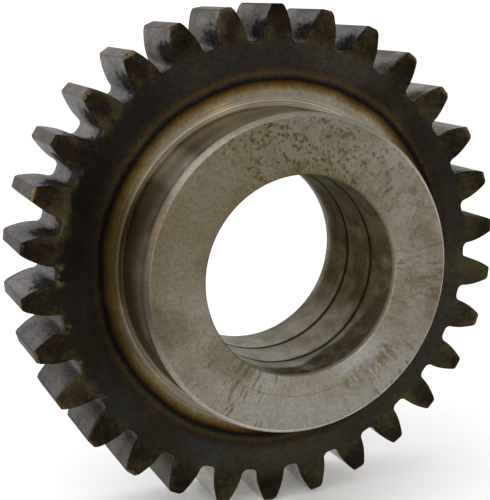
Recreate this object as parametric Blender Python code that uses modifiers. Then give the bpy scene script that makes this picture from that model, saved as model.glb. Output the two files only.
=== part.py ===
"""Spur gear with a long plain hub: a toothed rim seated on a bored hub, three plain sleeves in the bore.

Metres, +Z up. The gear stands upright with its axis along Y and its hub's nose towards -Y. Each profile is
drawn about a local axis whose origin is the middle of the gear's length, and which points to the nose.
"""

import math

import bmesh
import bpy

# Teeth: standard full-depth involute proportions.
MODULE = 0.006
TEETH = 30
PRESSURE_ANGLE = math.radians(20)
ADDENDUM = 1.0 * MODULE
DEDENDUM = 1.25 * MODULE
ROOT_FILLET = 0.38 * MODULE
FLANK_THINNING = 0.0001
FIRST_TOOTH = math.radians(4.6)
TIP_CHAMFER = 0.0011

# Lengths along the axis, from the middle of the gear.
LENGTH = 0.062
FACE_WIDTH = 0.034
NOSE_FACE = LENGTH / 2
REAR_FACE = -LENGTH / 2
RIM_FRONT = REAR_FACE + FACE_WIDTH

# Radii from the axis.
PITCH_RADIUS = MODULE * TEETH / 2
TIP_RADIUS = PITCH_RADIUS + ADDENDUM
ROOT_RADIUS = PITCH_RADIUS - DEDENDUM
BASE_RADIUS = PITCH_RADIUS * math.cos(PRESSURE_ANGLE)
SEAT_RADIUS = 0.0615
NOSE_RADIUS = 0.059
SLEEVE_RADIUS = 0.0445
BORE_RADIUS = 0.037

# Edges and fits.
FIT_GAP = 0.0003
SEAT_CHAMFER = 0.0008
NOSE_CHAMFER_RADIAL = 0.0018
NOSE_CHAMFER_AXIAL = 0.0023
RELIEF_WIDTH = 0.0007
RELIEF_DEPTH = 0.0006
SLEEVE_CHAMFER = 0.0005
SLEEVE_NAMES = ("front_sleeve", "middle_sleeve", "rear_sleeve")

# Facets.
STEPS_ROUND = 120
FLANK_POINTS = 6
FILLET_POINTS = 4
MERGE_DISTANCE = 0.000001


def clear_scene():
    for old in list(bpy.data.objects):
        bpy.data.objects.remove(old, do_unlink=True)


def make_collection(name):
    made = bpy.data.collections.new(name)
    bpy.context.scene.collection.children.link(made)
    return made


def make_material(name, colour, roughness):
    made = bpy.data.materials.new(name)
    made.use_nodes = True
    shader = made.node_tree.nodes["Principled BSDF"]
    shader.inputs["Base Color"].default_value = (*colour, 1.0)
    shader.inputs["Roughness"].default_value = roughness
    shader.inputs["Metallic"].default_value = 1.0
    made.diffuse_color = (*colour, 1.0)
    return made


def make_axis(collection):
    """An empty on the gear's axis: its local Z points along the axis to the nose, its local Y points up."""
    axis = bpy.data.objects.new("gear_axis", None)
    axis.rotation_euler = (math.radians(90), 0.0, 0.0)
    collection.objects.link(axis)
    return axis


def shade_round(thing, angle):
    thing.data.shade_smooth()
    thing.data.set_sharp_from_angle(angle=math.radians(angle))


def turned(name, profile, collection, axis):
    """A closed ring turned from (radius, height) points that run down its outer side and up its bore."""
    mesh = bpy.data.meshes.new(name)
    points = [(radius, 0.0, height) for radius, height in profile]
    edges = [(i, (i + 1) % len(points)) for i in range(len(points))]
    mesh.from_pydata(points, edges, [])
    ring = bpy.data.objects.new(name, mesh)
    collection.objects.link(ring)
    ring.parent = axis
    screw = ring.modifiers.new("Turn", "SCREW")
    screw.axis = "Z"
    screw.steps = STEPS_ROUND
    screw.render_steps = STEPS_ROUND
    screw.use_merge_vertices = True
    screw.merge_threshold = MERGE_DISTANCE
    screw.use_smooth_shade = False
    return ring


def involute(radius):
    """Angle that the involute has turned through where it reaches a radius."""
    if radius <= BASE_RADIUS:
        return 0.0
    pressure = math.acos(BASE_RADIUS / radius)
    return math.tan(pressure) - pressure


def half_tooth_angle(radius):
    at_pitch = (math.pi * MODULE / 4 - FLANK_THINNING) / PITCH_RADIUS
    return at_pitch + involute(PITCH_RADIUS) - involute(radius)


def flank():
    """Polar points (radius, angle from the tooth's middle) up one side, from the root circle to the tip."""
    foot = max(BASE_RADIUS, ROOT_RADIUS + ROOT_FILLET)
    foot_angle = half_tooth_angle(foot)
    fillet_centre = ROOT_RADIUS + ROOT_FILLET
    fillet_turn = ROOT_FILLET / fillet_centre
    points = []
    for i in range(FILLET_POINTS):
        turn = math.pi / 2 * i / FILLET_POINTS
        radius = fillet_centre - ROOT_FILLET * math.cos(turn)
        points.append((radius, foot_angle + fillet_turn * (1 - math.sin(turn))))
    for i in range(FLANK_POINTS):
        radius = foot + (TIP_RADIUS - foot) * i / (FLANK_POINTS - 1)
        points.append((radius, half_tooth_angle(radius)))
    return points


def tooth_outline():
    """The whole toothed outline, counter-clockwise from the first tooth."""
    side = flank()
    outline = []
    for tooth in range(TEETH):
        middle = FIRST_TOOTH + math.tau * tooth / TEETH
        outline += [(radius, middle - angle) for radius, angle in side]
        outline += [(radius, middle + angle) for radius, angle in reversed(side)]
    return [(radius * math.cos(turn), radius * math.sin(turn)) for radius, turn in outline]


def extruded_outline(name, points, thickness):
    """A solid plate of a flat outline, centred on its own origin."""
    curve = bpy.data.curves.new(name, "CURVE")
    curve.dimensions = "2D"
    curve.fill_mode = "BOTH"
    curve.extrude = thickness / 2
    spline = curve.splines.new("POLY")
    spline.points.add(len(points) - 1)
    for point, (x, y) in zip(spline.points, points):
        point.co = (x, y, 0.0, 1.0)
    spline.use_cyclic_u = True
    drawn = bpy.data.objects.new(name, curve)
    bpy.context.scene.collection.objects.link(drawn)
    bpy.context.view_layer.update()
    mesh = bpy.data.meshes.new_from_object(drawn)
    bpy.data.objects.remove(drawn, do_unlink=True)
    bpy.data.curves.remove(curve)
    weld(mesh)
    return mesh


def weld(mesh):
    shape = bmesh.new()
    shape.from_mesh(mesh)
    bmesh.ops.remove_doubles(shape, verts=shape.verts, dist=MERGE_DISTANCE)
    bmesh.ops.recalc_face_normals(shape, faces=shape.faces)
    shape.to_mesh(mesh)
    shape.free()


def rim_blank(cutters, axis):
    """The turned blank that the teeth are cut in: bevelled tips, and a chamfered seat for the hub."""
    clear = 0.002
    front_tip = TIP_RADIUS - TIP_CHAMFER
    return turned(
        "rim_blank",
        [
            (front_tip, RIM_FRONT),
            (TIP_RADIUS + clear, RIM_FRONT - TIP_CHAMFER - clear),
            (TIP_RADIUS + clear, REAR_FACE + TIP_CHAMFER + clear),
            (front_tip, REAR_FACE),
            (SEAT_RADIUS + SEAT_CHAMFER, REAR_FACE),
            (SEAT_RADIUS, REAR_FACE + SEAT_CHAMFER),
            (SEAT_RADIUS, RIM_FRONT - SEAT_CHAMFER),
            (SEAT_RADIUS + SEAT_CHAMFER, RIM_FRONT),
        ],
        cutters,
        axis,
    )


def make_rim(collection, cutters, axis):
    """The toothed rim: thirty teeth on a flat-sided ring that is seated on the hub."""
    overrun = 0.002
    plate = extruded_outline("toothed_rim", tooth_outline(), FACE_WIDTH + 2 * overrun)
    rim = bpy.data.objects.new("toothed_rim", plate)
    collection.objects.link(rim)
    rim.parent = axis
    rim.location.z = (RIM_FRONT + REAR_FACE) / 2
    blank = rim_blank(cutters, axis)
    blank.hide_render = True
    blank.display_type = "WIRE"
    turn_to_size = rim.modifiers.new("Blank", "BOOLEAN")
    turn_to_size.operation = "INTERSECT"
    turn_to_size.solver = "EXACT"
    turn_to_size.object = blank
    rim.data.materials.append(make_material("rim_steel", (0.05, 0.045, 0.035), 0.5))
    return rim


def make_hub(collection, axis):
    """The hub: a seat inside the rim, a relief groove at its shoulder, and a chamfered nose."""
    seat = SEAT_RADIUS - FIT_GAP
    bore = SLEEVE_RADIUS + FIT_GAP
    relief_floor = RIM_FRONT - RELIEF_DEPTH
    hub = turned(
        "hub",
        [
            (NOSE_RADIUS - NOSE_CHAMFER_RADIAL, NOSE_FACE),
            (NOSE_RADIUS, NOSE_FACE - NOSE_CHAMFER_AXIAL),
            (NOSE_RADIUS, relief_floor),
            (NOSE_RADIUS + RELIEF_WIDTH, relief_floor),
            (NOSE_RADIUS + RELIEF_WIDTH, RIM_FRONT),
            (seat - SEAT_CHAMFER, RIM_FRONT),
            (seat, RIM_FRONT - SEAT_CHAMFER),
            (seat, REAR_FACE + SEAT_CHAMFER),
            (seat - SEAT_CHAMFER, REAR_FACE),
            (bore, REAR_FACE),
            (bore, NOSE_FACE),
        ],
        collection,
        axis,
    )
    shade_round(hub, 25)
    hub.data.materials.append(make_material("hub_steel", (0.38, 0.35, 0.31), 0.38))
    return hub


def make_sleeve(name, place, collection, axis):
    """One of the equal sleeves that line the bore end to end, chamfered at both ends of its bore."""
    length = (LENGTH - FIT_GAP * (len(SLEEVE_NAMES) - 1)) / len(SLEEVE_NAMES)
    top = length / 2
    sleeve = turned(
        name,
        [
            (SLEEVE_RADIUS, top),
            (SLEEVE_RADIUS, -top),
            (BORE_RADIUS + SLEEVE_CHAMFER, -top),
            (BORE_RADIUS, SLEEVE_CHAMFER - top),
            (BORE_RADIUS, top - SLEEVE_CHAMFER),
            (BORE_RADIUS + SLEEVE_CHAMFER, top),
        ],
        collection,
        axis,
    )
    sleeve.location.z = NOSE_FACE - top - place * (length + FIT_GAP)
    shade_round(sleeve, 25)
    sleeve.data.materials.append(make_material(name + "_steel", (0.26, 0.23, 0.19), 0.42))
    return sleeve


def main():
    clear_scene()
    gear = make_collection("spur_gear")
    cutters = make_collection("cutters")
    axis = make_axis(gear)
    make_rim(gear, cutters, axis)
    make_hub(gear, axis)
    for place, name in enumerate(SLEEVE_NAMES):
        make_sleeve(name, place, gear, axis)
    bpy.context.view_layer.update()


main()
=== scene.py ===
"""Visual model of the spur gear: fine pieces over the CAD frame, procedural steel and a pale studio."""

import math

import bmesh
import bpy
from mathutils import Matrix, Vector


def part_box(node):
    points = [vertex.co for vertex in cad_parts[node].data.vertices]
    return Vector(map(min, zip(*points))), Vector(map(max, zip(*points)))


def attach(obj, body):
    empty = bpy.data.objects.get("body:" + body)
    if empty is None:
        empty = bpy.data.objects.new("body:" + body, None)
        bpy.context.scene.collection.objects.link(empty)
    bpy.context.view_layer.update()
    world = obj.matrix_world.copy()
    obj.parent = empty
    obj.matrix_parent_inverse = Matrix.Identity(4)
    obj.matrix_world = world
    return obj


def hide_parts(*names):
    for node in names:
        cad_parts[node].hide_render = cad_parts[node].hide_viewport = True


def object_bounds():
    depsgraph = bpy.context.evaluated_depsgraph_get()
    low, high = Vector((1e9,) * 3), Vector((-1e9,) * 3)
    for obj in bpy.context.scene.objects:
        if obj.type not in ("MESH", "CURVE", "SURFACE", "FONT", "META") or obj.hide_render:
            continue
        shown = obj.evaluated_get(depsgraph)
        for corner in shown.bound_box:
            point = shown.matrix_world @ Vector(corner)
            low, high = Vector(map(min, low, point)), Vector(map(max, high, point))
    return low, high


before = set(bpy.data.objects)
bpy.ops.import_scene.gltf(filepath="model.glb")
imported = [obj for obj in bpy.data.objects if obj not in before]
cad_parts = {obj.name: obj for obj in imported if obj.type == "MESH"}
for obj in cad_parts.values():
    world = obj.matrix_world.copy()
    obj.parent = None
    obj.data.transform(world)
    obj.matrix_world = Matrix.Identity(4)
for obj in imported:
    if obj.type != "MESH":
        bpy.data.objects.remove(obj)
CAD_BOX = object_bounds()

# Sizes taken from the frame, in metres. The gear's axis is the Y axis; the nose of the hub points to -Y.
RIM_LOW, RIM_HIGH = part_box("toothed_rim")
HUB_LOW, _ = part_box("hub")
_, SLEEVE_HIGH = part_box("front_sleeve")
TIP_RADIUS = RIM_HIGH.z
RIM_FRONT = RIM_LOW.y
REAR_FACE = RIM_HIGH.y
NOSE_FACE = HUB_LOW.y
SLEEVE_RADIUS = SLEEVE_HIGH.z

# Teeth: standard full-depth involute proportions.
TEETH = 30
MODULE = 2 * TIP_RADIUS / (TEETH + 2)
PRESSURE_ANGLE = math.radians(20)
PITCH_RADIUS = MODULE * TEETH / 2
ROOT_RADIUS = PITCH_RADIUS - 1.25 * MODULE
BASE_RADIUS = PITCH_RADIUS * math.cos(PRESSURE_ANGLE)
ROOT_FILLET = 0.38 * MODULE
FLANK_THINNING = 0.0001
FIRST_TOOTH = math.radians(4.6)
TIP_CHAMFER = 0.0011
TIP_ROUND = 0.0005
EDGE_BREAK = 0.0003

# Hub, seat and sleeves.
SEAT_RADIUS = 0.0615
SEAT_CHAMFER = 0.00012
SEAT_GAP = 0.00001
NOSE_RADIUS = 0.059
NOSE_CHAMFER_RADIAL = 0.0018
NOSE_CHAMFER_AXIAL = 0.0023
RELIEF_WIDTH = 0.0007
RELIEF_DEPTH = 0.0003
SLEEVE_GAP = 0.00001
BORE_RADIUS = 0.037
SLEEVE_CHAMFER = 0.0004
SOFTENED = 0.00003

# Fineness of the meshes.
STEPS_ROUND = 360
FLANK_POINTS = 9
FILLET_POINTS = 6
BREAK_POINTS = 4
TIP_CORNER_SHARES = (0.0, 0.33, 0.67, 1.0)
SHARP_ANGLE = math.radians(28)

# Radii in millimetres, for the materials.
TIP_MM = TIP_RADIUS * 1000
NOSE_MM = NOSE_RADIUS * 1000
SLEEVE_MM = SLEEVE_RADIUS * 1000

# Studio: floor, white world, and softboxes as (name, direction, distance, size, watts).
FLOOR_REACH = 6.0
FLOOR_CELLS = 8
FLOOR_COLOUR = (0.9, 0.9, 0.9, 1.0)
FLOOR_ROUGHNESS = 0.9
WORLD_COLOUR = (1.0, 1.0, 1.0, 1.0)
WORLD_STRENGTH = 1.15
SOFTBOXES = [
    ("key", (-0.6, -0.35, 0.9), 1.5, 1.3, 5.0),
    ("fill", (-0.9, -0.3, 0.05), 1.0, 0.8, 5.0),
]

# Camera: where it stands, in metres and degrees, which way it looks, in degrees, and its lens.
CAMERA_DISTANCE = 0.486
CAMERA_AZIMUTH = -21.91
CAMERA_ELEVATION = 11.79
CAMERA_TURN = -23.56
CAMERA_TILT = 12.79
SENSOR_WIDTH = 36.0
FOCAL_LENGTH = 91.77
LENS_SHIFT = (-0.1248, 0.066)


# ---------------------------------------------------------------- shapes


def involute(radius):
    """Angle that the involute has turned through where it reaches a radius."""
    if radius <= BASE_RADIUS:
        return 0.0
    pressure = math.acos(BASE_RADIUS / radius)
    return math.tan(pressure) - pressure


def half_tooth_angle(radius):
    """Half the angle that a tooth fills at a radius."""
    at_pitch = (math.pi * MODULE / 4 - FLANK_THINNING) / PITCH_RADIUS
    return at_pitch + involute(PITCH_RADIUS) - involute(radius)


def polar(radius, angle):
    """A flat point from its radius and angle."""
    return Vector((radius * math.cos(angle), radius * math.sin(angle)))


def tooth_side(tip_radius, inset):
    """Flat points up one side of a tooth that points along X, from the root circle to the tip's land."""
    foot = max(BASE_RADIUS, ROOT_RADIUS + ROOT_FILLET)
    centre = ROOT_RADIUS + ROOT_FILLET
    points = []
    for i in range(FILLET_POINTS):
        turn = math.pi / 2 * i / FILLET_POINTS
        radius = centre - (ROOT_FILLET + inset) * math.cos(turn)
        angle = half_tooth_angle(foot) + (ROOT_FILLET - (ROOT_FILLET + inset) * math.sin(turn)) / centre
        points.append(polar(radius, angle))
    for i in range(FLANK_POINTS):
        radius = foot + (tip_radius - foot) * i / (FLANK_POINTS - 1)
        points.append(polar(radius, half_tooth_angle(radius) - inset / radius))
    corner = points.pop()
    along_flank = (points[-1] - corner).normalized()
    start = corner + along_flank * TIP_ROUND
    finish = polar(tip_radius, corner.angle_signed(Vector((1, 0))) - TIP_ROUND / tip_radius)
    for share in TIP_CORNER_SHARES:
        points.append(start.lerp(corner, share).lerp(corner.lerp(finish, share), share))
    return points


def toothed_outline(tip_radius, inset):
    """The whole toothed outline, counter-clockwise seen from the nose, as (x, z) points."""
    side = tooth_side(tip_radius, inset)
    mirrored = [Vector((x, -y)) for x, y in side]
    tooth = mirrored + side[::-1]
    outline = []
    for number in range(TEETH):
        turn = FIRST_TOOTH + math.tau * number / TEETH
        cos, sin = math.cos(turn), math.sin(turn)
        outline += [(x * cos - y * sin, x * sin + y * cos) for x, y in tooth]
    return outline


def circle(radius):
    """A closed circle as (x, z) points."""
    turns = [math.tau * i / STEPS_ROUND for i in range(STEPS_ROUND)]
    return [(radius * math.cos(turn), radius * math.sin(turn)) for turn in turns]


def add_loop(shape, outline, y):
    """The outline's points as vertices at one place along the axis."""
    return [shape.verts.new((x, y, z)) for x, z in outline]


def bridge(shape, first, second, slot=0):
    """Quads between two closed loops of the same length."""
    for i in range(len(first)):
        j = (i + 1) % len(first)
        face = shape.faces.new((first[i], first[j], second[j], second[i]))
        face.material_index = slot
        face.smooth = True


def fill_between(shape, outer, inner, normal, slot):
    """A flat face between two loops."""
    edges = []
    for loop in (outer, inner):
        for i in range(len(loop)):
            pair = (loop[i], loop[(i + 1) % len(loop)])
            edges.append(shape.edges.get(pair) or shape.edges.new(pair))
    made = bmesh.ops.triangle_fill(shape, edges=edges, use_beauty=True, use_dissolve=False, normal=normal)
    for face in made["geom"]:
        if isinstance(face, bmesh.types.BMFace):
            face.material_index = slot
            face.smooth = False


def finish_mesh(name, shape, node, body="root"):
    """The shape as an object that stands for a CAD node and rides on the gear's body."""
    bmesh.ops.recalc_face_normals(shape, faces=shape.faces)
    mesh = bpy.data.meshes.new(name)
    shape.to_mesh(mesh)
    shape.free()
    mesh.set_sharp_from_angle(angle=SHARP_ANGLE)
    piece = bpy.data.objects.new(name, mesh)
    bpy.context.scene.collection.objects.link(piece)
    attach(piece, body)
    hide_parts(node)
    return piece


def rim_sections():
    """(distance from the end face, edge inset, tip radius) for one end, from the face inwards."""
    sections = []
    for i in range(BREAK_POINTS):
        turn = math.pi / 2 * i / (BREAK_POINTS - 1)
        depth = EDGE_BREAK * (1 - math.cos(turn))
        inset = EDGE_BREAK * (1 - math.sin(turn))
        sections.append((depth, inset, TIP_RADIUS - TIP_CHAMFER + depth))
    sections.append((TIP_CHAMFER, 0.0, TIP_RADIUS))
    return sections


def build_rim():
    """Toothed ring: lofted teeth with bevelled tips and broken edges, flat sides and a chamfered seat."""
    shape = bmesh.new()
    ends = rim_sections()
    levels = [(RIM_FRONT + depth, inset, tip) for depth, inset, tip in ends]
    levels += [(REAR_FACE - depth, inset, tip) for depth, inset, tip in reversed(ends)]
    loops = [add_loop(shape, toothed_outline(tip, inset), y) for y, inset, tip in levels]
    for level, (first, second) in enumerate(zip(loops, loops[1:])):
        edge_band = level < BREAK_POINTS or level >= len(loops) - 1 - BREAK_POINTS
        bridge(shape, first, second, slot=2 if edge_band else 1)
    seat_profile = [
        (SEAT_RADIUS + SEAT_CHAMFER, RIM_FRONT),
        (SEAT_RADIUS, RIM_FRONT + SEAT_CHAMFER),
        (SEAT_RADIUS, REAR_FACE - SEAT_CHAMFER),
        (SEAT_RADIUS + SEAT_CHAMFER, REAR_FACE),
    ]
    seat = [add_loop(shape, circle(radius), y) for radius, y in seat_profile]
    for first, second in zip(seat, seat[1:]):
        bridge(shape, second, first)
    fill_between(shape, loops[0], seat[0], (0, -1, 0), 0)
    fill_between(shape, loops[-1], seat[-1], (0, 1, 0), 0)
    return finish_mesh("toothed_rim_detailed", shape, "toothed_rim")


def softened(profile):
    """The closed (radius, y) profile with each corner cut back a little, so that edges catch the light."""
    result = []
    for i, point in enumerate(profile):
        corner = Vector(point)
        before = Vector(profile[i - 1]) - corner
        after = Vector(profile[(i + 1) % len(profile)]) - corner
        reach = min(SOFTENED, before.length / 3, after.length / 3)
        result.append(corner + before.normalized() * reach)
        result.append(corner + after.normalized() * reach)
    return result


def turned(name, profile, node):
    """A ring turned from a closed (radius, y) profile."""
    shape = bmesh.new()
    loops = [add_loop(shape, circle(radius), y) for radius, y in softened(profile)]
    for i, loop in enumerate(loops):
        bridge(shape, loops[i - 1], loop)
    return finish_mesh(name, shape, node)


def build_hub():
    """Hub: chamfered nose, relief groove at the shoulder, seat inside the rim, and the sleeves' bore."""
    seat = SEAT_RADIUS - SEAT_GAP
    profile = [
        (SLEEVE_RADIUS + SLEEVE_GAP, NOSE_FACE),
        (NOSE_RADIUS - NOSE_CHAMFER_RADIAL, NOSE_FACE),
        (NOSE_RADIUS, NOSE_FACE + NOSE_CHAMFER_AXIAL),
        (NOSE_RADIUS, RIM_FRONT + RELIEF_DEPTH),
        (NOSE_RADIUS + RELIEF_WIDTH, RIM_FRONT + RELIEF_DEPTH),
        (NOSE_RADIUS + RELIEF_WIDTH, RIM_FRONT),
        (seat - SEAT_CHAMFER, RIM_FRONT),
        (seat, RIM_FRONT + SEAT_CHAMFER),
        (seat, REAR_FACE - SEAT_CHAMFER),
        (seat - SEAT_CHAMFER, REAR_FACE),
        (SLEEVE_RADIUS + SLEEVE_GAP, REAR_FACE),
    ]
    return turned("hub_detailed", profile, "hub")


def build_sleeve(node):
    """A plain sleeve with both ends of its bore chamfered."""
    low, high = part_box(node)
    profile = [
        (SLEEVE_RADIUS, low.y),
        (SLEEVE_RADIUS, high.y),
        (BORE_RADIUS + SLEEVE_CHAMFER, high.y),
        (BORE_RADIUS, high.y - SLEEVE_CHAMFER),
        (BORE_RADIUS, low.y + SLEEVE_CHAMFER),
        (BORE_RADIUS + SLEEVE_CHAMFER, low.y),
    ]
    return turned(node + "_detailed", profile, node)


# ---------------------------------------------------------------- materials


def shade(red, green, blue):
    """A linear colour from 8-bit display values."""

    def linear(value):
        value /= 255
        return value / 12.92 if value <= 0.04045 else ((value + 0.055) / 1.055) ** 2.4

    return (linear(red), linear(green), linear(blue), 1.0)


RUST_DARK = shade(36, 23, 17)
SOOT = shade(22, 21, 20)
SOOT_GREY = shade(36, 35, 33)
OIL_FILM = shade(66, 62, 54)
OLIVE_DARK = shade(72, 61, 34)
OLIVE_LIGHT = shade(96, 87, 60)
STAIN_BROWN = shade(104, 88, 62)

# How bright the metal's reflection is at a grazing angle.
DULL_EDGE = 0.45

# Steels and stains as (noise value, colour), from dark to light.
CUT_STEEL = [(0.36, shade(92, 89, 87)), (0.5, shade(122, 119, 117)), (0.64, shade(150, 147, 145))]
# The next steel is painted light, for the flanks that face down, as if lit from below.
PAINTED_LIT_STEEL = [(0.36, shade(214, 210, 203)), (0.6, shade(246, 243, 238))]
FACE_STEEL = [(0.34, shade(105, 96, 80)), (0.5, shade(119, 110, 97)), (0.66, shade(131, 123, 111))]
WALL_STEEL = [(0.3, shade(128, 118, 94)), (0.5, shade(146, 136, 115)), (0.7, shade(162, 153, 136))]
CHAMFER_STEEL = [(0.35, shade(120, 113, 102)), (0.6, shade(132, 126, 115))]
# The first bore colours are brown oil, darkened further as painted shade.
OIL_AND_SHADE_BORE = [(0.3, shade(56, 48, 30)), (0.5, shade(74, 66, 46)), (0.7, shade(96, 88, 68))]
BRIGHT_BORE = [(0.3, shade(122, 114, 98)), (0.5, shade(152, 145, 133)), (0.7, shade(168, 161, 151))]
TOOTH_END = [
    (0.36, shade(20, 17, 12)),
    (0.47, shade(31, 26, 17)),
    (0.55, shade(50, 43, 27)),
    (0.66, shade(64, 56, 36)),
]

# Heat tint: where it starts and how far it runs, in millimetres, then its rings as (radius, colour), first
# where the steel stayed golden and then where it is bare.
TINT_START = 60.0
TINT_SPAN = 20.0
GOLD_RINGS = [
    (60.5, shade(66, 54, 31)),
    (62.5, shade(84, 74, 50)),
    (64.0, shade(80, 67, 38)),
    (65.3, shade(68, 55, 25)),
    (66.9, shade(46, 34, 15)),
    (68.3, shade(16, 13, 14)),
    (69.2, shade(17, 14, 12)),
    (70.4, shade(40, 32, 21)),
    (71.6, shade(33, 27, 19)),
    (72.8, shade(26, 23, 19)),
    (74.2, shade(31, 25, 20)),
    (76.0, shade(29, 26, 21)),
]
BARE_RINGS = [
    (60.5, shade(160, 153, 140)),
    (62.6, shade(152, 144, 131)),
    (64.0, shade(140, 131, 113)),
    (65.3, shade(116, 98, 64)),
    (66.5, shade(88, 67, 32)),
    (67.7, shade(50, 34, 13)),
    (68.4, shade(19, 16, 17)),
    (69.3, shade(38, 34, 33)),
    (70.6, shade(62, 54, 34)),
    (71.6, shade(56, 43, 26)),
    (73.0, shade(41, 37, 32)),
    (76.0, shade(42, 39, 34)),
]

# Radius of the dark heart on a tooth's end, in millimetres.
HEART_MM = 87.5

# Fine lines round the hub's foot, as (middle radius, width) in millimetres; the shine is a painted highlight
# on the seat's edge.
FOOT_LINE = (60.5, 1.1)
SEAT_LINE = (62.4, 0.5)
SEAT_SHINE = (61.7, 0.7)


class Field:
    """A value that varies over a surface; sums and products of fields add the math nodes for them."""

    def __init__(self, paint, socket):
        self.paint = paint
        self.socket = socket

    def __add__(self, other):
        return self.paint.math("ADD", self, other)

    def __sub__(self, other):
        return self.paint.math("SUBTRACT", self, other)

    def __mul__(self, other):
        return self.paint.math("MULTIPLY", self, other)

    def __truediv__(self, other):
        return self.paint.math("DIVIDE", self, other)

    def __abs__(self):
        return self.paint.math("ABSOLUTE", self, 0.0)

    def __or__(self, other):
        return self.paint.math("MAXIMUM", self, other)


class Paint:
    """A metal material being painted: short names for the nodes that it is made of."""

    def __init__(self, name):
        self.material = bpy.data.materials.new(name)
        self.material.use_nodes = True
        self.tree = self.material.node_tree
        self.shader = self.tree.nodes["Principled BSDF"]
        self.place = self.add("ShaderNodeTexCoord").outputs["Object"]
        parts = self.add("ShaderNodeSeparateXYZ")
        self.plug(parts.inputs[0], self.place)
        self.x, self.along, self.z = (Field(self, socket) for socket in parts.outputs)
        flat = self.vector("MULTIPLY", self.place, (1, 0, 1))
        self.radius = Field(self, self.vector("LENGTH", flat, output="Value"))
        self.mm = self.radius * 1000.0
        self.direction = self.vector("NORMALIZE", flat)
        self.grain = self.noise(self.place, 800.0, 3.0, 0.65)
        self.cloud = self.noise(self.place, 70.0, 4.0, 0.6)
        self.patch = self.noise(self.place, 27.0, 3.0, 0.55)

    def add(self, kind):
        """A new node."""
        return self.tree.nodes.new(kind)

    def plug(self, socket, value):
        """Links a field or a node's output to a socket, or sets the socket to a plain value."""
        if isinstance(value, Field):
            value = value.socket
        if isinstance(value, bpy.types.NodeSocket):
            self.tree.links.new(value, socket)
        else:
            socket.default_value = value

    def math(self, operation, first, second):
        """A math node's result, as a field."""
        node = self.add("ShaderNodeMath")
        node.operation = operation
        self.plug(node.inputs[0], first)
        self.plug(node.inputs[1], second)
        return Field(self, node.outputs[0])

    def vector(self, operation, first, second=None, third=None, output="Vector"):
        """A vector math node's output."""
        node = self.add("ShaderNodeVectorMath")
        node.operation = operation
        for socket, value in zip(node.inputs, (first, second, third)):
            if value is not None:
                self.plug(socket, value)
        return node.outputs[output]

    def spread(self, value, low, high):
        """0 where the value is at low, 1 where it is at high, eased between."""
        node = self.add("ShaderNodeMapRange")
        node.interpolation_type = "SMOOTHSTEP"
        self.plug(node.inputs["Value"], value)
        node.inputs["From Min"].default_value = low
        node.inputs["From Max"].default_value = high
        return Field(self, node.outputs["Result"])

    def band(self, value, middle, width):
        """1 at the middle, falling to 0 at half the width on each side."""
        return self.spread(abs(value - middle), width / 2, 0.0)

    def facing(self, angle):
        """Cosine of the angle round the axis between a point and a direction given in degrees."""
        turn = math.radians(angle)
        towards = (math.cos(turn), 0, math.sin(turn))
        return Field(self, self.vector("DOT_PRODUCT", self.direction, towards, output="Value"))

    def sector(self, middle, half_width, soft=12):
        """1 inside a sector round the axis, in degrees, 0 outside it."""
        outer = math.cos(math.radians(min(half_width + soft, 179)))
        inner = math.cos(math.radians(max(half_width - soft, 1)))
        return self.spread(self.facing(middle), outer, inner)

    def spot(self, radius, angle, y, size):
        """1 in a round spot at a place given by its radius, angle in degrees and y, all in millimetres."""
        turn = math.radians(angle)
        centre = (radius * math.cos(turn) / 1000, y / 1000, radius * math.sin(turn) / 1000)
        away = Field(self, self.vector("DISTANCE", self.place, centre, output="Value")) * 1000.0
        return self.spread(away + (self.cloud - 0.5) * size, size * 1.2, size * 0.8)

    def lathe(self, around, across):
        """Coordinates that follow the turning: round the axis, and out from it or along it."""
        lift = self.add("ShaderNodeCombineXYZ")
        self.plug(lift.inputs[1], (self.radius - self.along) * across)
        return self.vector("MULTIPLY_ADD", self.direction, (around, around, around), lift.outputs[0])

    def stretched(self, x, y, z):
        """The place on the piece, multiplied axis by axis."""
        return self.vector("MULTIPLY", self.place, (x, y, z))

    def noise(self, vector, scale=1.0, detail=2.0, roughness=0.5, distortion=0.0):
        """Noise from 0 to 1, mostly near 0.5, as a field."""
        node = self.add("ShaderNodeTexNoise")
        self.plug(node.inputs["Vector"], vector)
        node.inputs["Scale"].default_value = scale
        node.inputs["Detail"].default_value = detail
        node.inputs["Roughness"].default_value = roughness
        node.inputs["Distortion"].default_value = distortion
        return Field(self, node.outputs["Fac"])

    def by_tooth(self, offset):
        """A value that changes slowly round the rim, so that each tooth gets its own."""
        turned_to = self.vector("MULTIPLY", self.direction, (4.3, 4.3, 4.3))
        return self.noise(self.vector("ADD", turned_to, (offset, offset, offset)), detail=1.0)

    def tooth_offset(self):
        """Millimetres along the circle from the middle of the nearest tooth."""
        turn = (self.math("ARCTAN2", self.z, self.x) - FIRST_TOOTH) * (TEETH / math.tau)
        away = turn - self.math("ROUND", turn, 0.0)
        return away * self.mm * (math.tau / TEETH)

    def ramp(self, value, stops):
        """The colour that (position, colour) stops give a value."""
        node = self.add("ShaderNodeValToRGB")
        elements = node.color_ramp.elements
        elements[0].position, elements[0].color = stops[0]
        elements[1].position, elements[1].color = stops[-1]
        for position, colour in stops[1:-1]:
            elements.new(position).color = colour
        self.plug(node.inputs[0], value)
        return node.outputs["Color"]

    def mix(self, amount, first, second, blend="MIX"):
        """The first colour where the amount is 0, the second where it is 1."""
        node = self.add("ShaderNodeMix")
        node.data_type = "RGBA"
        node.blend_type = blend
        self.plug(node.inputs["Factor"], amount)
        self.plug(node.inputs[6], first)
        self.plug(node.inputs[7], second)
        return node.outputs[2]

    def scaled(self, amount, colour, red, green, blue):
        """The colour, multiplied channel by channel where the amount is 1."""
        return self.mix(amount, colour, (red, green, blue, 1.0), "MULTIPLY")

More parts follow.
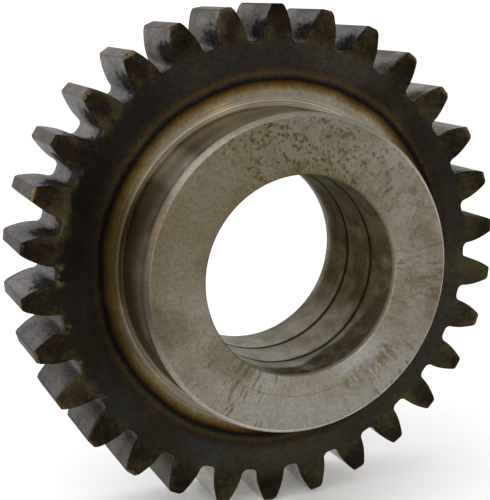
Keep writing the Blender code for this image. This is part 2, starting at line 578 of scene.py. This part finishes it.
    def bump(self, height, distance, strength=1.0, normal=None):
        """A normal roughened by a height, on top of another normal if one is given."""
        node = self.add("ShaderNodeBump")
        node.inputs["Distance"].default_value = distance
        node.inputs["Strength"].default_value = strength
        self.plug(node.inputs["Height"], height)
        if normal is not None:
            self.plug(node.inputs["Normal"], normal)
        return node.outputs["Normal"]

    def surface(self, colour, roughness, normal, film=None):
        """Joins the maps to the shader; a matt film of soot or oil, from 0 to 1, hides the metal's shine."""
        self.shader.inputs["Specular Tint"].default_value = (DULL_EDGE, DULL_EDGE, DULL_EDGE, 1.0)
        self.shader.inputs["Specular IOR Level"].default_value = 0.0
        if film is None:
            self.shader.inputs["Metallic"].default_value = 1.0
        else:
            self.plug(self.shader.inputs["Metallic"], film * -1.0 + 1.0)
        self.plug(self.shader.inputs["Base Color"], colour)
        self.plug(self.shader.inputs["Roughness"], roughness)
        self.plug(self.shader.inputs["Normal"], normal)
        return self.material


def tint_rings(p, ring, rings):
    """The colour that a list of rings gives at a radius."""
    stops = [((radius - TINT_START) / TINT_SPAN, colour) for radius, colour in rings]
    return p.ramp((ring - TINT_START) / TINT_SPAN, stops)


def web_tones(p, colour):
    """Uneven tones of the dull outer side, with painted reflection lighter towards the lower right and
    painted shade darker at the upper left.
    """
    outer = p.spread(p.mm, 71.0, 75.0)
    # Painted reflection: lighter towards the lower right.
    colour = p.scaled(outer * p.spread(p.facing(-46), 0.0, 0.95), colour, 2.40, 2.62, 2.62)
    brown = outer * p.sector(-108, 26, 16) * p.spread(p.patch, 0.60, 0.42)
    colour = p.scaled(brown, colour, 0.95, 0.90, 0.72)
    # Painted shade: darker at the upper left.
    colour = p.scaled(outer * p.sector(150, 24, 14), colour, 0.62, 0.60, 0.58)
    colour = p.scaled(outer * p.sector(60, 12, 10) * p.spread(p.patch, 0.36, 0.52), colour, 1.6, 1.55, 1.5)
    grey = outer * p.sector(-138, 26, 16) * p.spread(p.patch, 0.42, 0.60)
    colour = p.scaled(grey, colour, 1.1, 1.16, 1.28)
    colour = p.scaled(p.spread(p.cloud, 0.50, 0.72), colour, 1.5, 1.42, 1.22)
    return p.scaled(p.spread(p.patch, 0.46, 0.30) * outer, colour, 1.25, 1.05, 0.9)


def heat_tint_with_painted_light(p):
    """Sides of the rim from the hub outwards: bare, gold, brown, a blue-black line, then dull dark grey;
    with a painted highlight on the seat's edge and painted reflection and shade on the outer side.
    """
    wander = p.noise(p.lathe(2.2, 20.0), detail=5.0, roughness=0.68) - 0.5
    ring = p.mm + wander * 2.0 + (p.cloud - 0.5) * 1.8 - p.facing(15) * 1.4
    bare = p.sector(92, 50, 26) * p.spread(p.patch, 0.15, 0.55)
    bare = bare | p.sector(-138, 26, 14) * p.spread(ring, 66.0, 62.0) * 0.4
    bare = bare | p.sector(-112, 34, 16) * 0.65
    colour = p.mix(bare, tint_rings(p, ring, GOLD_RINGS), tint_rings(p, ring, BARE_RINGS))
    turning = p.noise(p.lathe(0.6, 1500.0), detail=3.0, roughness=0.6)
    turning = p.spread(turning, 0.52, 0.38) * p.spread(p.mm, 66.0, 62.0)
    colour = p.scaled(turning, colour, 0.76, 0.73, 0.66)
    foot = p.band(p.mm, *FOOT_LINE) | p.band(p.mm, *SEAT_LINE) * 0.5
    colour = p.scaled(foot, colour, 0.60, 0.55, 0.44)
    # Painted highlight: a light line along the seat's edge.
    colour = p.scaled(p.band(p.mm, *SEAT_SHINE), colour, 1.30, 1.30, 1.28)
    colour = web_tones(p, colour)
    pits = p.spread(p.grain, 0.62, 0.34) * p.spread(p.mm, 61.5, 64.0)
    return p.scaled(pits, colour, 0.72, 0.72, 0.72)


def tooth_end_stains_and_reflection(p):
    """Ends of the teeth: near-black brown with olive patches, lighter towards the lower right as painted
    reflection, and, on some teeth, a rust-dark heart.
    """
    blotch = p.cloud * 0.7 + p.grain * 0.3
    colour = p.ramp(blotch, TOOTH_END)
    # Painted reflection: the teeth's ends are lighter towards the lower right.
    lower_right = p.sector(-52, 62, 30)
    tone_shift = p.mix(p.spread(blotch, 0.40, 0.62), shade(36, 32, 22), shade(68, 62, 44))
    colour = p.mix(lower_right * 0.6, colour, tone_shift)
    tip = p.spread(p.mm + (p.cloud - 0.5) * 2.5, 94.0, 95.4) * p.spread(p.by_tooth(7.0), 0.44, 0.56)
    colour = p.mix(tip * p.spread(p.grain, 0.36, 0.56) * 0.8, colour, shade(112, 94, 68))
    across = p.tooth_offset()
    down = (p.mm - HEART_MM) * 0.62
    reach = p.math("SQRT", across * across + down * down, 0.0) + (p.cloud - 0.5) * 7.0
    heart = p.spread(reach, 4.6, 1.6) * p.spread(p.by_tooth(3.0), 0.36, 0.52)
    heart = heart * (p.sector(160, 75, 30) * 0.6 + 0.3)
    return p.mix(heart, colour, p.mix(p.spread(p.grain, 0.42, 0.56), SOOT, RUST_DARK))


def rim_face_steel(name="rim_face_steel", edge_wear_and_highlight=0.0):
    """Oxidised sides of the rim, with the teeth's ends and the dried oil beside their roots."""
    p = Paint(name)
    ragged = p.mm + (p.cloud - 0.5) * 13.0
    colour = p.mix(p.spread(ragged, 81.0, 86.0), heat_tint_with_painted_light(p), tooth_end_stains_and_reflection(p))
    between = p.spread(abs(p.tooth_offset()), 3.4, 6.6)
    smear = p.spread(p.noise(p.place, 210.0, 4.0, 0.7), 0.53, 0.64) * p.band(p.mm, 81.8, 5.5) * between
    smear = smear * (p.sector(-164, 26, 12) * 0.75 + p.spread(p.by_tooth(9.0), 0.50, 0.60) * 0.35)
    colour = p.mix(smear * 0.75, colour, shade(92, 78, 54))
    # On the broken edges: tan marks that are partly wear and partly a painted highlight along the edges.
    if edge_wear_and_highlight:
        tone_shift = p.spread(p.by_tooth(1.0) + (p.cloud - 0.5) * 0.6, 0.50, 0.62) * p.spread(p.grain, 0.38, 0.56)
        colour = p.mix(tone_shift * edge_wear_and_highlight, colour, shade(104, 84, 62))
    roughness = p.cloud * 0.25 + 0.38
    normal = p.bump(p.noise(p.lathe(3.0, 1500.0), detail=2.0), 0.00004, 0.3)
    normal = p.bump(p.grain, 0.0001, 0.5, normal)
    return p.surface(colour, roughness, normal)


def flank_tones(p, land, painted_light_below):
    """Cut steel of the flanks and tip lands, with painted light and shade round the ring, painted light from
    below, and duller along its corners.
    """
    mottle = p.cloud * 0.45 + p.grain * 0.55
    steel = p.ramp(mottle, CUT_STEEL)
    # Painted light and shade round the ring: the flanks are darker at the lower left and at the top, lighter
    # at the upper left, the left and the upper right.
    steel = p.scaled(p.sector(-130, 22, 8), steel, 0.62, 0.60, 0.56)
    steel = p.scaled(p.sector(70, 34, 14), steel, 0.84, 0.84, 0.83)
    steel = p.scaled(p.sector(136, 12, 8) | p.sector(179, 5, 4) * 0.7, steel, 1.22, 1.24, 1.24)
    steel = p.scaled(p.sector(38, 14, 10), steel, 1.7, 1.65, 1.6)
    steel = p.scaled(p.sector(-160, 8, 5), steel, 0.80, 0.80, 0.80)
    # Painted light: the flanks that face down are painted pale, as if lit from below.
    steel = p.mix(painted_light_below, steel, p.ramp(mottle, PAINTED_LIT_STEEL))
    steel = p.scaled(land, steel, 0.92, 0.84, 0.81)
    # Painted light and shade on the tip lands: darker at the left, lighter at the top.
    steel = p.scaled(land * p.sector(166, 26, 12), steel, 0.70, 0.71, 0.71)
    steel = p.scaled(land * p.sector(78, 22, 12), steel, 1.45, 1.45, 1.45)
    tip_corner = p.band(p.mm, TIP_MM - 0.45, 0.7)
    rear_corner = p.spread(p.along, REAR_FACE - 0.0011, REAR_FACE - 0.0003)
    tone_shift = (tip_corner | rear_corner) * p.spread(p.cloud, 0.36, 0.52)
    return p.scaled(tone_shift, steel, 0.50, 0.46, 0.43)


def root_soot(p, painted_light_below):
    """How thick the soot is on the flanks: speckled, and thickest at the front end of the roots."""
    depth = (p.along - RIM_FRONT) * 1000.0
    smear = p.noise(p.stretched(240, 130, 240), 1.0, 3.0, 0.65) - 0.5
    density = p.spread(depth + smear * 22.0, 27.0, 3.0) * p.spread(p.mm + smear * 9.0, 94.5, 87.5)
    density = density * (p.spread(p.by_tooth(5.0), 0.34, 0.50) * 0.25 + 0.75)
    density = density * (painted_light_below * -0.9 + 1.0) * (p.sector(30, 30, 12) * -0.45 + 1.0)
    density = density * (p.sector(154, 16, 8) * 0.45 + 1.0) * (p.sector(-135, 32, 10) * -0.6 + 1.0)
    above_root = p.spread(p.mm + smear * 8.0, 81.9, 84.6) * 0.6 + 0.4
    density = density * (above_root | p.spread(depth + smear * 9.0, 8.0, 3.0) * 0.8)
    fine = p.noise(p.place, 1300.0, 3.0, 0.7)
    soot = p.spread(fine + density * 0.68, 0.66, 1.02)
    soot = soot | p.spread(fine, 0.66, 0.74) * 0.7
    return soot | p.spread(depth + smear * 5.0, 2.6, 0.5) * 0.8


def flank_steel():
    """Satin cut flanks and tip lands, with painted light and shade, oil on the upper teeth and soot at the
    front end of the roots.
    """
    p = Paint("flank_steel")
    land = p.spread(p.mm, TIP_MM - 0.35, TIP_MM - 0.05)
    off_land = land * -0.7 + 1.0
    # Flanks that face down, where light from below is painted; the soot is thinned there too.
    painted_light_below = p.sector(-78, 30, 10) * off_land
    steel = flank_tones(p, land, painted_light_below)
    oily = p.spread(p.noise(p.stretched(90, 34, 90), 1.0, 3.0, 0.6), 0.46, 0.62)
    oily = oily * p.sector(75, 55, 20) * off_land * 0.55
    steel = p.mix(oily, steel, OIL_FILM)
    soot = root_soot(p, painted_light_below)
    colour = p.mix(soot * 0.94, steel, p.mix(p.spread(p.grain, 0.50, 0.64), SOOT, SOOT_GREY))
    roughness = p.cloud * 0.2 + 0.36
    normal = p.bump(p.noise(p.stretched(900, 25, 900), 1.0, 2.0), 0.00003, 0.3)
    normal = p.bump(p.grain, 0.00009, 0.5, normal)
    return p.surface(colour, roughness, normal, (soot | oily) * 0.9)


def nose_marks(p):
    """How strongly each spot of the hub's end faces is marked by dried oil: specks, worm trails and runs."""
    fine = p.noise(p.place, 760.0, 2.0, 0.6)
    crowd = p.sector(90, 32, 18) * (p.spread(p.cloud, 0.36, 0.58) * 0.5 + 0.5)
    specks = p.spread(fine + crowd * 0.18, 0.68, 0.82) * 0.9
    blots = p.spread(p.noise(p.place, 230.0, 4.0, 0.65), 0.54, 0.66) * p.sector(84, 38, 18) * 0.75
    trail = p.band(p.noise(p.place, 105.0, 2.0, 0.55, 0.8), 0.5, 0.085)
    trail = trail * p.spread(p.noise(p.place, 170.0, 2.0), 0.49, 0.58) * p.sector(24, 42, 18) * 0.36
    runs = p.spread(p.noise(p.lathe(30.0, 120.0), detail=3.0, roughness=0.6), 0.54, 0.66)
    below = p.sector(-28, 36, 18) * p.spread(p.patch, 0.34, 0.55) | p.sector(-124, 20, 10) * 0.9
    runs = runs * (below | p.sector(44, 10, 6)) * 0.62
    return specks | blots | trail | runs


def face_stains_and_reflection(p, marks):
    """End faces of the hub and sleeves: turned steel, olive near the bore above; painted reflection makes
    them lighter and colder below and to the right and darker at the left, with a painted sheen by the bore.
    """
    colour = p.ramp(p.cloud, FACE_STEEL)
    # Painted reflection and shade: lighter towards the right, darker at the outer left, and a cold lighter
    # grey in patches below.
    colour = p.scaled(p.sector(32, 44, 24), colour, 1.12, 1.14, 1.18)
    colour = p.scaled(p.sector(178, 22, 14) * p.spread(p.mm, 48.0, 56.0), colour, 0.76, 0.75, 0.72)
    colour = p.mix(p.sector(-82, 42, 24) * p.spread(p.patch, 0.24, 0.54), colour, shade(142, 138, 129))
    # Painted sheen: a cold light streak beside the bore at the lower right.
    sheen = p.sector(-56, 10, 8) * p.spread(p.mm + (p.cloud - 0.5) * 9.0, 45.0, 39.5)
    colour = p.mix(sheen * 0.9, colour, shade(150, 150, 146))
    streaks = p.noise(p.lathe(34.0, 160.0), detail=4.0, roughness=0.65)
    drab = p.sector(-54, 14, 9) * p.band(p.mm, 46.5, 13.0) * p.spread(streaks, 0.42, 0.60)
    colour = p.mix(drab * 0.85, colour, shade(96, 86, 60))
    oil = p.sector(142, 34, 22) * p.spread(p.cloud, 0.36, 0.62)
    oil = oil | p.sector(96, 30, 20) * p.spread(p.cloud, 0.46, 0.66)
    oil = oil | p.sector(108, 60, 24) * p.spread(p.mm, 46.0, 38.0) * p.spread(p.patch, 0.20, 0.45)
    oil = oil | p.sector(-128, 16, 12) * p.spread(p.cloud, 0.40, 0.60) * p.spread(p.mm, 50.0, 42.0)
    colour = p.mix(oil * 0.72, colour, OLIVE_LIGHT)
    colour = p.mix(marks, colour, OLIVE_DARK)
    colour = p.mix(p.spot(52.5, 33, NOSE_FACE * 1000, 2.0) * 0.6, colour, STAIN_BROWN)
    joint = p.band(p.mm, SLEEVE_MM, 0.8) * p.sector(-98, 30, 14)
    colour = p.mix(joint * 0.4, colour, STAIN_BROWN)
    brushed = p.noise(p.lathe(80.0, 120.0), detail=2.0)
    return p.scaled(p.spread(brushed, 0.60, 0.40), colour, 0.94, 0.935, 0.92)


def turned_finish(p, colour, marks, film=None):
    """Finish shared by the hub and the sleeves: fine grain and faint turning marks."""
    inside = p.spread(p.mm, NOSE_MM + 0.5, NOSE_MM + 0.2)
    colour = p.scaled(p.spread(p.grain, 0.60, 0.34) * inside, colour, 0.80, 0.79, 0.76)
    roughness = p.cloud * 0.16 + marks * 0.15 + 0.30
    normal = p.bump(p.noise(p.lathe(2.0, 2600.0), detail=2.0), 0.00003, 0.3)
    normal = p.bump(p.grain * inside, 0.00005, 0.35, normal)
    return p.surface(colour, roughness, normal, film)


def on_end_face(p):
    """1 on the flat ends of the gear, 0 between them."""
    return p.spread(abs(p.along), REAR_FACE - 0.0004, REAR_FACE - 0.0001)


def hub_wall(p, smudge):
    """The hub's outer wall: painted light at the top, one painted bright reflection streak beside it,
    painted shade on the left at its foot and next to the chamfer, and a brown patch, darkened also as
    painted shade, low down on the left.
    """
    wall = p.ramp(smudge, WALL_STEEL)
    # Painted light at the top, and a painted bright reflection streak beside it.
    wall = p.mix(p.sector(96, 26, 14) * 0.85, wall, shade(196, 180, 150))
    wall = p.mix(p.sector(137, 5, 4) * 0.9, wall, shade(224, 216, 198))
    # Low down on the left: a brown patch, darkened also as painted shade.
    low = p.spread(p.along, NOSE_FACE + 0.006, RIM_FRONT - 0.002) * p.sector(176, 28, 18)
    wall = p.mix(low * 0.8, wall, shade(84, 72, 40))
    # Painted shade on the left: darker at the wall's foot by the rim and next to the chamfer.
    neck = p.spread(p.along, NOSE_FACE + 0.008, NOSE_FACE + 0.002) * p.sector(155, 52, 14)
    foot = p.spread(p.along, RIM_FRONT - 0.008, RIM_FRONT) * p.sector(128, 34, 14)
    wall = p.scaled((neck | foot) * 0.9, wall, 0.50, 0.46, 0.38)
    return p.scaled(p.sector(80, 7, 6) | p.sector(-135, 8, 5), wall, 0.66, 0.64, 0.60)


def nose_chamfer(p, smudge):
    """The chamfer round the nose: painted highlights below and at the right, painted shade at the left."""
    chamfer = p.ramp(smudge, CHAMFER_STEEL)
    # Painted highlights below and at the right, painted shade at the left.
    chamfer = p.mix(p.sector(-45, 92, 24), chamfer, shade(188, 180, 167))
    chamfer = p.mix(p.sector(-76, 34, 16), chamfer, shade(232, 222, 210))
    chamfer = p.mix(p.sector(172, 22, 14), chamfer, shade(68, 62, 53))
    return p.mix(p.sector(158, 4, 3) * 0.5, chamfer, shade(92, 78, 56))


def hub_steel():
    """Turned hub: stained end faces with painted reflection, a dull chamfer and the wall, both with painted
    light and shade, and the heat-tinted step inside the rim.
    """
    p = Paint("hub_steel")
    marks = nose_marks(p)
    smudge = p.noise(p.lathe(4.0, 60.0), detail=4.0, roughness=0.65)
    chamfer_end = NOSE_FACE + NOSE_CHAMFER_AXIAL
    on_chamfer = p.spread(p.along, chamfer_end + 0.0002, chamfer_end - 0.0001)
    wall = p.mix(on_chamfer, hub_wall(p, smudge), nose_chamfer(p, smudge))
    colour = p.mix(p.spread(p.mm, NOSE_MM + 0.3, NOSE_MM + 0.7), wall, heat_tint_with_painted_light(p))
    colour = p.mix(on_end_face(p), colour, face_stains_and_reflection(p, marks))
    return turned_finish(p, colour, marks * on_end_face(p))


def sleeve_steel(name):
    """Sleeves: bores smudged with brown oil and darkened as painted shade on the right, brighter below, dark
    along the joints.
    """
    p = Paint(name)
    marks = nose_marks(p)
    smudge = p.noise(p.lathe(5.0, 90.0), detail=4.0, roughness=0.68)
    # The bore is brown oil darkened as painted shade, except below and near the rear end.
    bore = p.ramp(smudge, OIL_AND_SHADE_BORE)
    bright = p.ramp(smudge, BRIGHT_BORE)
    below = p.sector(-98, 52, 22) | p.spread(p.along, REAR_FACE - 0.006, REAR_FACE - 0.001) * 0.8
    bright = p.scaled(p.sector(-58, 18, 14), bright, 0.66, 0.65, 0.62)
    bore = p.mix(below, bore, bright)
    reach = p.along + (p.patch - 0.5) * 0.012 - p.sector(-54, 14, 16) * 0.006
    entrance = p.spread(reach, NOSE_FACE + 0.013, NOSE_FACE + 0.009) * p.sector(-66, 46, 14)
    bore = p.mix(entrance * (p.spread(smudge, 0.66, 0.40) * 0.25 + 0.75), bore, shade(58, 50, 36))
    lip = p.spread(p.along, NOSE_FACE + 0.0035, NOSE_FACE + 0.0012)
    bore = p.mix(lip * 0.8, bore, shade(120, 112, 98))
    sleeve_length = (REAR_FACE - NOSE_FACE) / 3
    joints = p.band(abs(p.along), sleeve_length / 2, 0.0042)
    bore = p.mix(joints, bore, shade(28, 21, 11))
    colour = p.mix(on_end_face(p), bore, face_stains_and_reflection(p, marks))
    oil = p.sector(30, 58, 24) * p.spread(p.along, REAR_FACE - 0.001, REAR_FACE - 0.007) * 0.75
    oil = oil | entrance * 0.7 | joints
    oil = oil * (on_end_face(p) * -1.0 + 1.0)
    return turned_finish(p, colour, marks * on_end_face(p), oil)


def floor_paint():
    """Plain pale paint."""
    made = bpy.data.materials.new("studio_floor")
    made.use_nodes = True
    shader = made.node_tree.nodes["Principled BSDF"]
    shader.inputs["Base Color"].default_value = FLOOR_COLOUR
    shader.inputs["Roughness"].default_value = FLOOR_ROUGHNESS
    return made


# ---------------------------------------------------------------- studio


def build_floor():
    """A flat floor that the gear stands on."""
    shape = bmesh.new()
    bmesh.ops.create_grid(shape, x_segments=FLOOR_CELLS, y_segments=FLOOR_CELLS, size=FLOOR_REACH)
    mesh = bpy.data.meshes.new("floor")
    shape.to_mesh(mesh)
    shape.free()
    floor = bpy.data.objects.new("floor", mesh)
    floor.location.z = CAD_BOX[0].z
    floor.data.materials.append(floor_paint())
    bpy.context.scene.collection.objects.link(floor)


def add_softbox(name, towards, distance, size, energy):
    """A square area light that looks at the gear from a direction."""
    light = bpy.data.lights.new(name, "AREA")
    light.shape = "SQUARE"
    light.size = size
    light.energy = energy
    lamp = bpy.data.objects.new(name, light)
    aim = Vector(towards).normalized()
    lamp.location = aim * distance
    lamp.rotation_euler = aim.to_track_quat("Z", "Y").to_euler()
    bpy.context.scene.collection.objects.link(lamp)


def build_studio():
    """A white world and the softboxes."""
    world = bpy.data.worlds.new("studio")
    world.use_nodes = True
    background = world.node_tree.nodes["Background"]
    background.inputs["Color"].default_value = WORLD_COLOUR
    background.inputs["Strength"].default_value = WORLD_STRENGTH
    bpy.context.scene.world = world
    bpy.context.scene.view_settings.view_transform = "Standard"
    for name, towards, distance, size, energy in SOFTBOXES:
        add_softbox(name, towards, distance, size, energy)


def build_camera():
    """The photograph's view: from the left of the nose and a little above, framed off the lens's centre."""
    data = bpy.data.cameras.new("camera")
    data.sensor_width = SENSOR_WIDTH
    data.lens = FOCAL_LENGTH
    data.shift_x, data.shift_y = LENS_SHIFT
    camera = bpy.data.objects.new("camera", data)
    azimuth = math.radians(CAMERA_AZIMUTH)
    elevation = math.radians(CAMERA_ELEVATION)
    level = CAMERA_DISTANCE * math.cos(elevation)
    height = CAMERA_DISTANCE * math.sin(elevation)
    camera.location = (level * math.sin(azimuth), -level * math.cos(azimuth), height)
    camera.rotation_euler = (math.radians(90 - CAMERA_TILT), 0.0, math.radians(CAMERA_TURN))
    bpy.context.scene.collection.objects.link(camera)
    bpy.context.scene.camera = camera


# ---------------------------------------------------------------- assembly


def main():
    build_camera()
    build_studio()
    build_floor()
    rim = build_rim()
    for made in (rim_face_steel(), flank_steel(), rim_face_steel("rim_edge_steel", 0.5)):
        rim.data.materials.append(made)
    hub = build_hub()
    hub.data.materials.append(hub_steel())
    for node in ("front_sleeve", "middle_sleeve", "rear_sleeve"):
        sleeve = build_sleeve(node)
        sleeve.data.materials.append(sleeve_steel(node + "_steel"))


main()
